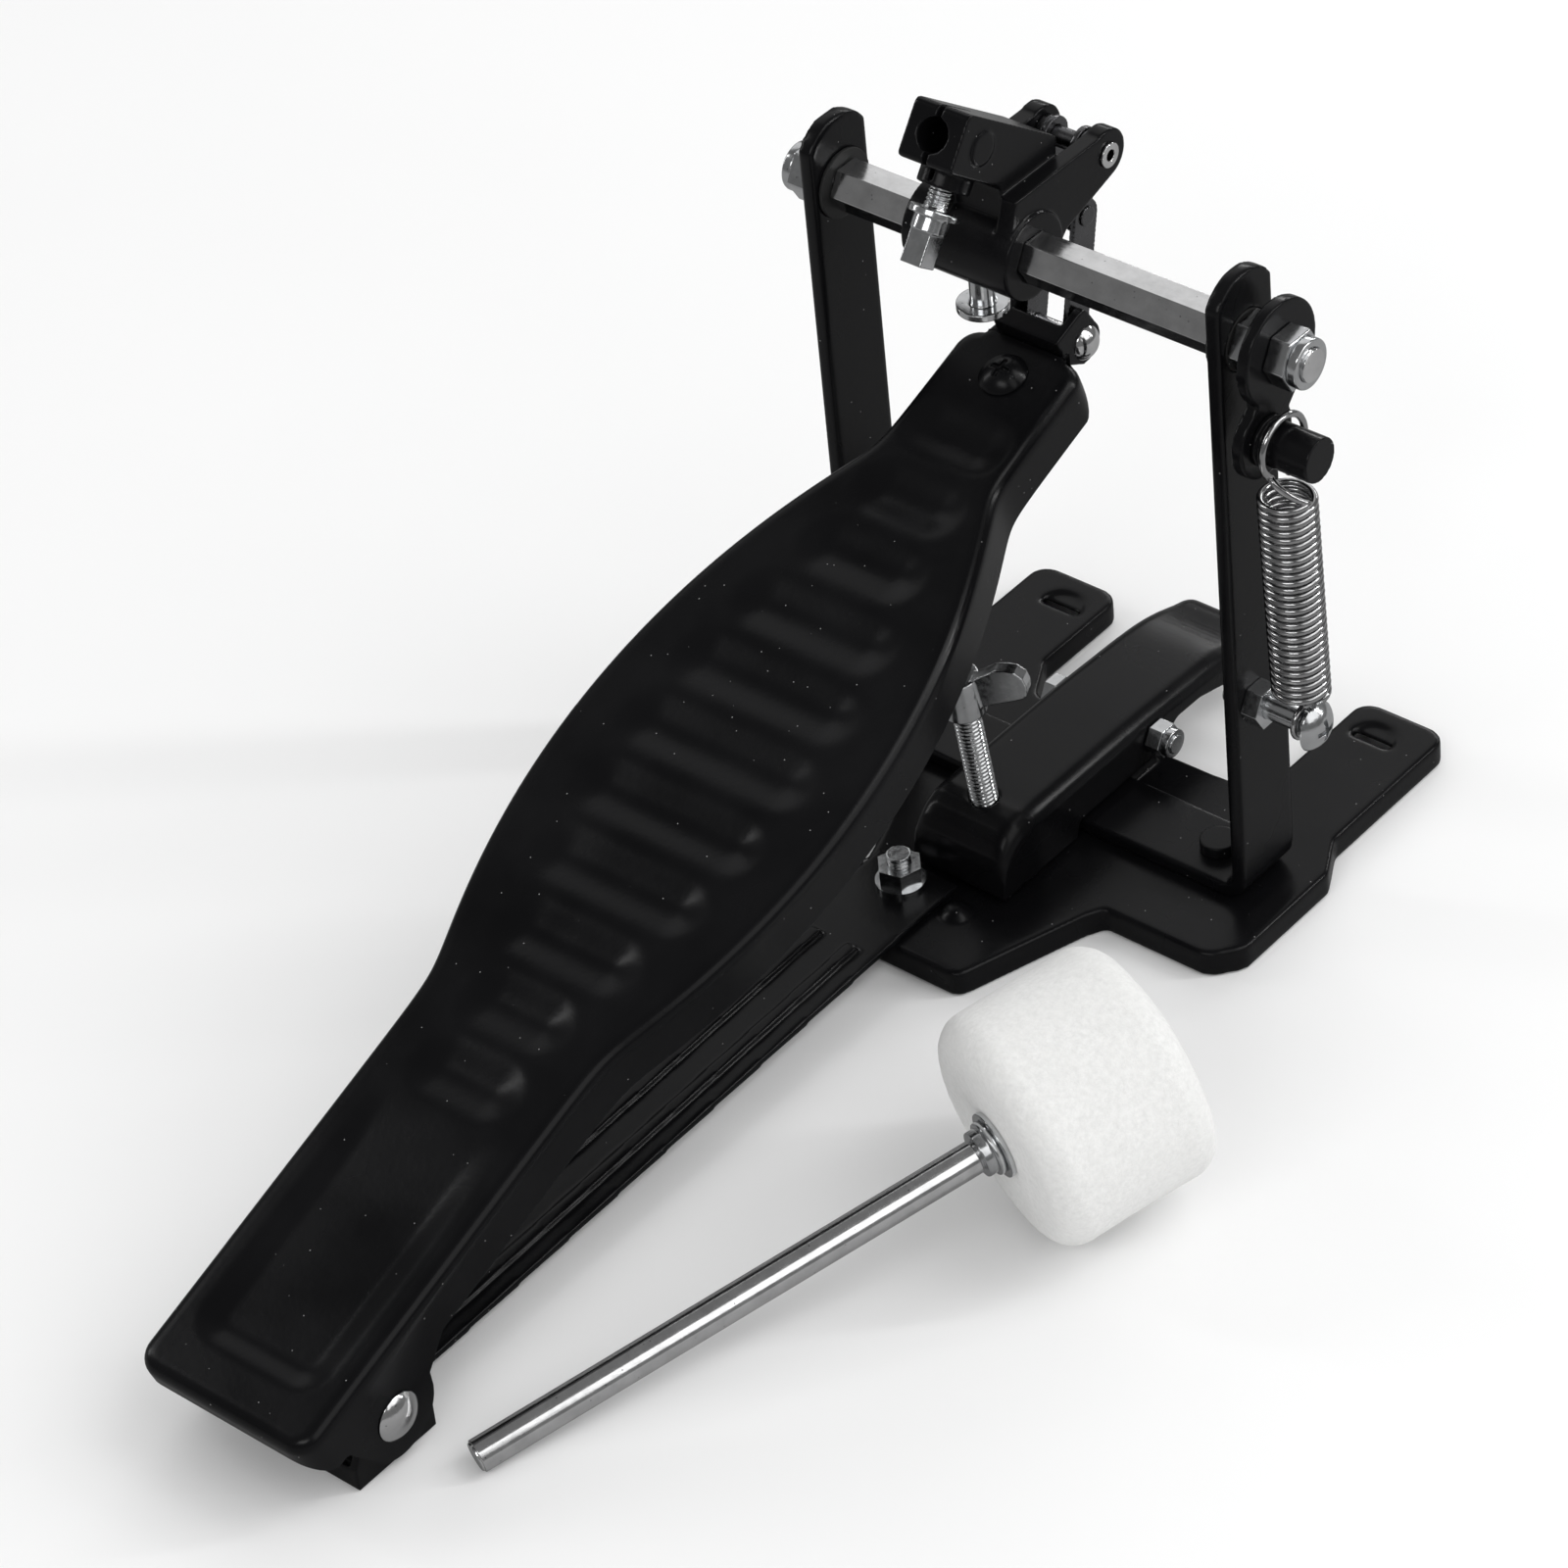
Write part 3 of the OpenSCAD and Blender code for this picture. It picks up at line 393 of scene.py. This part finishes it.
def machined(node, width=0.3):
    """A copy of a CAD node with small crisp chamfers on its edges."""
    obj = add_object("fine_" + node, frame["nodes"][node].data.copy())
    bm = bmesh.new()
    bm.from_mesh(obj.data)
    bmesh.ops.remove_doubles(bm, verts=bm.verts, dist=0.002 * MM)
    bmesh.ops.dissolve_limit(bm, angle_limit=math.radians(1.5), verts=bm.verts, edges=bm.edges)
    bm.to_mesh(obj.data)
    bm.free()
    edge = obj.modifiers.new("edge", "BEVEL")
    edge.width = width * MM
    edge.segments = 2
    edge.limit_method = "ANGLE"
    edge.angle_limit = math.radians(32)
    baked(obj)
    smooth(obj, 40)
    even = obj.modifiers.new("even", "WEIGHTED_NORMAL")
    even.keep_sharp = True
    return baked(obj)


def cut_thread(obj, origin, axis, radius, z0, z1, pitch, depth):
    """Presses a helical thread into the vertices of obj that lie on a round bar."""
    co = coords(obj)
    a = np.array(Vector(axis).normalized())
    side = np.cross(a, (1.0, 0.0, 0.0) if abs(a[0]) < 0.9 else (0.0, 1.0, 0.0))
    side /= np.linalg.norm(side)
    other = np.cross(a, side)
    rel = co - np.array(origin)
    z, x, y = rel @ a, rel @ side, rel @ other
    rho = np.hypot(x, y)
    phase = (z / pitch - np.arctan2(y, x) / (2 * math.pi)) % 1
    wave = np.abs(phase - 0.5) * 2
    skin = radius * 0.14
    on = (z > z0) & (z < z1) & (np.abs(rho - radius) < skin)
    lead = np.clip(np.minimum(z - z0, z1 - z) / pitch, 0, 1)
    new = np.where(on, rho - depth * wave * lead, rho)
    scale = new / np.maximum(rho, 1e-9)
    co = np.array(origin) + np.outer(z, a) + np.outer(x * scale, side) + np.outer(y * scale, other)
    set_coords(obj, co)
    return obj


# ---- footboard ----

BOARD = {
    "slope": 19.6, "pin": (-256.5, 14.3), "line": -12.0, "length": 313.0, "heel": 26.0,
    "mid": 40.6, "toe": 17.4, "bulge_s": 184.0, "bulge_r": 187.0, "corner": 6.0, "flange": 13.5,
    "pin_s": 23.1, "pin_h": -19.8, "ear": 11.5, "sheet": 2.0, "edge": 3.0,
}


def board_matrix():
    """The footboard's frame: X across, Y along it from the heel, Z up from its top face."""
    b = BOARD
    a = math.radians(b["slope"])
    s, h = -b["pin_s"], -b["pin_h"]
    y = b["pin"][0] + s * math.cos(a) - h * math.sin(a)
    z = b["pin"][1] + s * math.sin(a) + h * math.cos(a)
    return Matrix.Translation((b["line"] * MM, y * MM, z * MM)) @ Matrix.Rotation(a, 4, "X")


def board_width(s):
    """Half width of the board at s: straight heel and toe, one round bulge blended between."""
    b = BOARD
    d = s - b["bulge_s"]
    base = b["heel"] if d < 0 else b["toe"]
    if abs(d) > 150:
        return base
    arc = b["mid"] - b["bulge_r"] + math.sqrt(b["bulge_r"] ** 2 - d * d)
    return (arc + base + math.sqrt((arc - base) ** 2 + 2.5 ** 2)) / 2


def outline_half(s):
    """Half width of the plan outline, corners included."""
    b = BOARD
    c = b["corner"]
    if s < c:
        return b["heel"] - c + math.sqrt(max(c * c - (c - s) ** 2, 0))
    if s > b["length"] - c:
        e = s - b["length"] + c
        return b["toe"] - c + math.sqrt(max(c * c - e * e, 0))
    return board_width(s)


def edge_distance(x, s):
    """How far a point of the top lies inside the rolled edge; the toe edge itself is open."""
    b = BOARD
    c = b["corner"]
    x = abs(x)
    slope = (board_width(min(s + 1, b["length"])) - board_width(max(s - 1, 0))) / 2
    side = (board_width(s) - x) / math.sqrt(1 + slope * slope)
    d = min(side, s)
    if s < c and x > b["heel"] - c:
        d = c - math.hypot(x - b["heel"] + c, s - c)
    if s > b["length"] - c and x > b["toe"] - c:
        d = c - math.hypot(x - b["toe"] + c, s - b["length"] + c)
    return max(d, 0)


def ease(t):
    t = min(max(t, 0), 1)
    return t * t * (3 - 2 * t)


GROOVES = [92 + 19.18 * i for i in range(11)]
GROOVE = {"depth": 1.35, "reach": 9.5, "inset": 21, "shortest": 7}
PANEL = {"depth": 1.5, "half": 11, "start": 20, "rim": 9.0, "wall": 7.0, "end": 86, "fade": 34}


def board_height(x, s):
    """Height of the pressed top: rolled edge, soft cross grooves and the sunk heel panel."""
    b = BOARD
    r = b["edge"]
    d = edge_distance(x, s)
    z = -(r - math.sqrt(max(r * r - (r - d) ** 2, 0))) if d < r else 0
    for at in GROOVES:
        if abs(s - at) < 10:
            half = max(board_width(at) - GROOVE["inset"], GROOVE["shortest"])
            reach = math.hypot(max(abs(x) - half, 0), s - at)
            z -= GROOVE["depth"] * ease(1 - reach / GROOVE["reach"])
    p = PANEL
    px, ps = max(abs(x) - p["half"], 0), max(p["start"] - s, 0)
    sunk = ease((p["rim"] - math.hypot(px, ps)) / p["wall"])
    z -= p["depth"] * sunk * ease((p["end"] - s) / p["fade"])
    return z


def flange_depth(s, x):
    """How far the side flange hangs below the top: ears round the pin, shallower at both ends."""
    b = BOARD
    c = b["corner"]
    full = b["flange"]
    if s < c:
        turn = math.atan2(c - s, max(abs(x) - b["heel"] + c, 0.001)) / (math.pi / 2)
        return full + (6.5 - full) * ease(turn)
    if s > b["length"] - c:
        turn = math.atan2(s - b["length"] + c, max(abs(x) - b["toe"] + c, 0.001)) / (math.pi / 2)
        return full + (b["edge"] + 0.8 - full) * ease(turn * 1.15)
    ear_s = s - b["pin_s"]
    left = b["pin_s"] - 15.1
    deep = full
    if left <= s <= b["pin_s"] - 9:
        deep = 11.5 + (s - left) / 6.1 * 15.5
    elif abs(ear_s) <= b["ear"]:
        deep = -b["pin_h"] + math.sqrt(b["ear"] ** 2 - ear_s ** 2)
    elif b["ear"] < ear_s < 20:
        deep = -b["pin_h"] + (full + b["pin_h"]) * (ear_s - b["ear"]) / (20 - b["ear"])
    return max(deep, full)


def make_footboard():
    """The pressing as one sheet: the top, then the rim turned down, then a wall of sheet metal."""
    b = BOARD
    rows = [0, 0.25, 0.7, 1.3, 2.1, 3.0, 4.0, 5.0, 6.0]
    s = 7.0
    while s < b["length"] - 6.5:
        rows.append(s)
        s += 1.0 if s < 46 else 1.25
    rows += [b["length"] - e for e in (6.0, 5.0, 4.0, 3.0, 2.1, 1.3, 0.7, 0.25, 0)]
    near = [0, 0.08, 0.28, 0.6, 1.05, 1.6, 2.3, 3.0, 4.2]
    inner = 22
    points, faces = [], []
    across = []
    for s in rows:
        half = outline_half(s)
        xs = [half - d for d in near]
        xs += [(half - near[-1]) * (1 - k / inner) for k in range(1, inner + 1)]
        xs += [-x for x in reversed(xs[:-1])]
        row = []
        for x in xs:
            row.append(len(points))
            points.append((x, s, board_height(x, s)))
        across.append(row)
    for r1, r2 in zip(across, across[1:]):
        for k in range(len(r1) - 1):
            faces.append((r1[k], r1[k + 1], r2[k + 1], r2[k]))
    # The rim, from the toe's right corner round the heel to the toe's left corner
    rim = [r[0] for r in reversed(across)]
    rim += across[0][1:-1]
    rim += [r[-1] for r in across]
    drop = [0.12, 0.3, 0.5, 0.7, 0.85, 0.95, 1.0]
    last = rim
    for share in drop:
        now = []
        for i in rim:
            x, s, z = points[i]
            low = -flange_depth(s, x)
            now.append(len(points))
            points.append((x, s, z + (low - z) * share))
        for k in range(len(rim) - 1):
            faces.append((last[k], last[k + 1], now[k + 1], now[k]))
        last = now
    obj = mesh_from("footboard_pressing", points, faces)
    bm = bmesh.new()
    bm.from_mesh(obj.data)
    bmesh.ops.remove_doubles(bm, verts=bm.verts, dist=0.01)
    bmesh.ops.recalc_face_normals(bm, faces=bm.faces)
    top = max(bm.faces, key=lambda f: f.calc_center_median().z)
    if top.normal.z < 0:
        bmesh.ops.reverse_faces(bm, faces=bm.faces)
    bm.to_mesh(obj.data)
    bm.free()
    obj.data.transform(board_matrix() @ Matrix.Scale(MM, 4))
    wall = obj.modifiers.new("wall", "SOLIDIFY")
    wall.thickness = b["sheet"] * MM
    wall.offset = -1
    wall.use_quality_normals = True
    baked(obj)
    smooth(obj, 50)
    dress(obj, "footboard")


# ---- spring ----

def spring_frame():
    """The spring's frame, +Z along it from the lower screw's centre."""
    up = Vector(JOINT["spring_stretch"]["axis"])
    x = Vector((1, 0, 0))
    y = up.cross(x)
    spot = Vector(JOINT["spring_swing"]["pos_m"])
    return Matrix.Translation(spot) @ Matrix((x, y, up)).transposed().to_4x4()


def make_spring():
    """One wire: lower hook, close coil, upper hook."""
    wire, coil, turns = 1.7, 6.15, 28
    length = 80.58
    low, high = 9.3, length - 13.6
    hook, loop = 3.9, 7.65
    path = []
    # Lower hook round the screw, open on the drum's side, with its end bent back
    for i in range(25):
        a = math.radians(60 - 330 * i / 24)
        path.append(Vector((0, hook * math.cos(a), hook * math.sin(a))))
    # Rises and swings out to the first turn
    start = path[-1]
    for i in range(1, 9):
        t = i / 9
        swing = Vector((0, 1.2 * math.sin(math.pi * t), 0))
        path.append(start.lerp(Vector((coil, 0, low)), ease(t)) + swing)
    steps = 28
    for i in range(turns * steps + 1):
        a = 2 * math.pi * i / steps
        rise = low + (high - low) * i / (turns * steps)
        path.append(Vector((coil * math.cos(a), coil * math.sin(a), rise)))
    top = Vector((0, 0, length))
    first = top + Vector((0, loop * math.cos(math.radians(-130)), loop * math.sin(math.radians(-130))))
    start = path[-1]
    for i in range(1, 9):
        t = i / 9
        path.append(start.lerp(first, ease(t)) + Vector((0, -1.5 * math.sin(math.pi * t), 0)))
    for i in range(37):
        a = math.radians(-130 - 318 * i / 36)
        path.append(top + Vector((0.6 * (i / 36 - 0.5), loop * math.cos(a), loop * math.sin(a))))
    curve = bpy.data.curves.new("spring_wire", "CURVE")
    curve.dimensions = "3D"
    curve.bevel_depth = wire / 2 * MM
    curve.bevel_resolution = 3
    curve.use_fill_caps = True
    line = curve.splines.new("POLY")
    line.points.add(len(path) - 1)
    frame_matrix = spring_frame()
    for point, p in zip(line.points, path):
        point.co = (*(frame_matrix @ (p * MM)), 1)
    source = add_object("spring_curve", curve)
    graph = bpy.context.evaluated_depsgraph_get()
    mesh = bpy.data.meshes.new_from_object(source.evaluated_get(graph))
    bpy.data.objects.remove(source)
    obj = add_object("return_spring_coil", mesh)
    smooth(obj)
    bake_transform(obj, "spring", "spring_hook", start=frame_matrix @ Vector((0, 0, low * MM)),
             end=frame_matrix @ Vector((0, 0, high * MM)))
    dress(obj, "return_spring")
    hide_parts("spring_top_hook")


# ---- felt beater ----

def beater_frame():
    """The beater's frame, +X along it from the shaft's free end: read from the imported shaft."""
    shaft = frame["nodes"]["beater_shaft"]
    co = coords(shaft)
    centre = co.mean(axis=0)
    _, vectors = np.linalg.eigh(np.cov((co - centre).T))
    axis = vectors[:, 2]
    head = np.array(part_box("beater_head")).mean(axis=0)
    if np.dot(axis, head - centre) < 0:
        axis = -axis
    along = (co - centre) @ axis
    start = centre + axis * along.min()
    x = Vector(axis)
    y = Vector((0, 0, 1)).cross(x).normalized()
    return Matrix.Translation(Vector(start)) @ Matrix((x, y, x.cross(y))).transposed().to_4x4()


def make_felt(at):
    """The head turned from a profile, with the far end recessed, and slightly lumpy."""
    radius, length, rim, hole, recess = 29.5, 42.0, 7.0, 3.4, 9.5
    start = 135.5
    profile = []
    for k in range(14):
        profile.append((0, hole + (radius - rim - hole) * k / 14))
    for k in range(13):
        a = math.radians(90 * k / 12)
        profile.append((rim - rim * math.cos(a), radius - rim + rim * math.sin(a)))
    for k in range(1, 20):
        profile.append((rim + (length - 2 * rim) * k / 20, radius))
    for k in range(13):
        a = math.radians(90 * k / 12)
        profile.append((length - rim + rim * math.sin(a), radius - rim + rim * math.cos(a)))
    for k in range(1, 9):
        profile.append((length, radius - rim - (radius - rim - recess) * k / 8))
    for k in range(1, 5):
        profile.append((length - 7.2 * k / 4, recess))
    profile += [(length - 7.2, 7.0), (length - 7.2, hole)]
    around = 144
    points, faces = [], []
    for j in range(around):
        a = 2 * math.pi * j / around
        c, s = math.cos(a), math.sin(a)
        for x, r in profile:
            points.append(Vector((x, r * c, r * s)))
    n = len(profile)
    for j in range(around):
        for k in range(n - 1):
            a, b = j * n + k, (j + 1) % around * n + k
            faces.append((a, a + 1, b + 1, b))
        a, b = j * n, (j + 1) % around * n
        faces.append((a + n - 1, a, b, b + n - 1))
    moved = []
    for p in points:
        r = math.hypot(p.y, p.z)
        lump = noise.noise(p * 0.07) * 0.28 + noise.noise(p * 0.55) * 0.12
        out = Vector((p.x - length / 2, p.y, p.z)).normalized()
        share = min(max((r - 10) / 4, 0), 1)
        moved.append(p + out * (lump - 0.22) * share)
    obj = mesh_from("felt_head", moved, faces)
    obj.data.transform(at @ Matrix.Scale(MM, 4) @ Matrix.Translation((start, 0, 0)))
    bm = bmesh.new()
    bm.from_mesh(obj.data)
    bmesh.ops.recalc_face_normals(bm, faces=bm.faces)
    bm.to_mesh(obj.data)
    bm.free()
    smooth(obj)
    dress(obj, "beater_head")


# ---- jaw and base ----

def shape_jaw():
    """The jaw as a pressing: its top follows one smooth arch and its long edges are rolled over."""
    obj = soften("hoop_jaw", 0.5, 6)
    co = coords(obj) / MM
    low, high = (np.array(c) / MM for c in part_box("hoop_jaw"))
    y = co[:, 1]
    steps = np.arange(low[1], high[1], 0.5)
    bins = np.clip(((y - low[1]) / 0.5).astype(int), 0, len(steps) - 1)
    top = np.full(len(steps), -1e9)
    np.maximum.at(top, bins, co[:, 2])
    kernel = np.exp(-0.5 * (np.arange(-30, 31) / 12.0) ** 2)
    padded = np.pad(top, 30, mode="edge")
    arch = np.convolve(padded, kernel / kernel.sum(), mode="valid")
    away = np.minimum(steps - low[1] - 12, high[1] - 6 - steps)
    change = (arch - top) * np.clip(away / 8, 0, 1)
    top_at = np.interp(y, steps + 0.25, top)
    share = np.clip((co[:, 2] - 14) / 7, 0, 1)
    co[:, 2] += np.interp(y, steps + 0.25, change) * share
    roll = 4.6
    side = np.minimum(co[:, 0] - low[0], high[0] - co[:, 0])
    drop = roll - np.sqrt(np.maximum(roll ** 2 - np.maximum(roll - side, 0) ** 2, 0))
    depth = top_at + np.interp(y, steps + 0.25, change) - co[:, 2]
    co[:, 2] -= np.minimum(drop, roll * 0.8) * np.clip(1 - depth / 11, 0, 1)
    set_coords(obj, co * MM)
    settle = obj.modifiers.new("settle", "SMOOTH")
    settle.factor = 0.5
    settle.iterations = 5
    thin = obj.modifiers.new("thin", "DECIMATE")
    thin.ratio = 0.7
    dress(smooth(baked(obj)), "hoop_jaw")


# ---- assembly ----

make_camera()
make_studio()
make_footboard()
shape_jaw()
make_spring()
make_felt(beater_frame())

for node, voxel, rounds, keep in (
    ("base_plate", 0.55, 14, 0.5), ("post_frame", 0.6, 6, 0.5), ("floor_rail", 0.5, 6, 0.5),
    ("heel_bracket", 0.4, 5, 0.6), ("hub", 0.36, 5, 0.7), ("toe_clevis", 0.3, 5, 1),
    ("spring_lever", 0.35, 5, 1), ("spring_post", 0.3, 4, 1), ("toe_screw", 0.22, 3, 1),
    ("frame_rivets", 0.3, 4, 1), ("bracket_rivets", 0.25, 4, 1), ("bearing_bushes", 0.25, 2, 1),
    ("hub_set_screw", 0.2, 2, 1),
):
    dress(soften(node, voxel, rounds, keep), node)

for node, width in (
    ("axle", 0.25), ("axle_nuts", 0.45), ("axle_collar", 0.3), ("axle_washer", 0.25),
    ("rail_nut", 0.4), ("jaw_pivot_nut", 0.35), ("clevis_nut", 0.35),
    ("spring_screw_nut", 0.35), ("spring_screw", 0.25), ("beater_collar", 0.35),
    ("beater_washers", 0.3), ("beater_nut", 0.4), ("toe_nut", 0.35), ("heel_pin", 0.2),
    ("clevis_pin", 0.2), ("jaw_pivot_bolt", 0.3),
):
    dress(machined(node, width), node)

for node, voxel in (
    ("upper_link", 0.25), ("lower_link", 0.25), ("link_pin", 0.2), ("fork_spacers", 0.2),
):
    dress(soften(node, voxel, 4), node, DARK)
PIN_HEAD_FROM = 0.0112  # beyond this distance from the mid line the fork pin shows bright
pin = soften("fork_pin", 0.18, 3)
dress(pin, "fork_pin", DARK)
pin.data.materials.append(BRIGHT)
for face in pin.data.polygons:
    if abs(face.center.x - LINE_X) > PIN_HEAD_FROM:
        face.material_index = 1

WING_THREAD = {"pitch": 0.00125, "depth": 0.00068}
CLAMP_THREAD = {"pitch": 0.001, "depth": 0.0005}
WING_TIP = Vector((-0.001, -0.028, 0.0077))
CLAMP_TIP = (-0.013, -0.0103, 0.1921)
STUD_FOOT = (-0.012, -0.0508, 0)

wing = soften("wing_bolt", 0.22, 2)
wing_axis = Vector(JOINT["wing_bolt_thread"]["axis"])
cut_thread(wing, WING_TIP, -wing_axis, 0.0035, 0.002, 0.050, **WING_THREAD)
dress(wing, "wing_bolt")

key = soften("beater_clamp_bolt", 0.2, 2)
clamp_axis = Vector(JOINT["beater_clamp_thread"]["axis"])
cut_thread(key, CLAMP_TIP, clamp_axis, 0.003, 0.0005, 0.0115, **CLAMP_THREAD)
dress(key, "beater_clamp_bolt")

stud = soften("rail_bolt", 0.2, 2)
cut_thread(stud, STUD_FOOT, (0, 0, 1), 0.003, 0.009, 0.0178, 0.001, 0.0004)
dress(stud, "rail_bolt")

dress(machined("beater_shaft", 0.3), "beater_shaft", DRAWN)

floor = mesh_from("studio_floor", [(-3, -3, 0), (3, -3, 0), (3, 3, 0), (-3, 3, 0)], [(0, 1, 2, 3)])
floor.location.z = -0.0003
floor.data.materials.append(floor_paper())
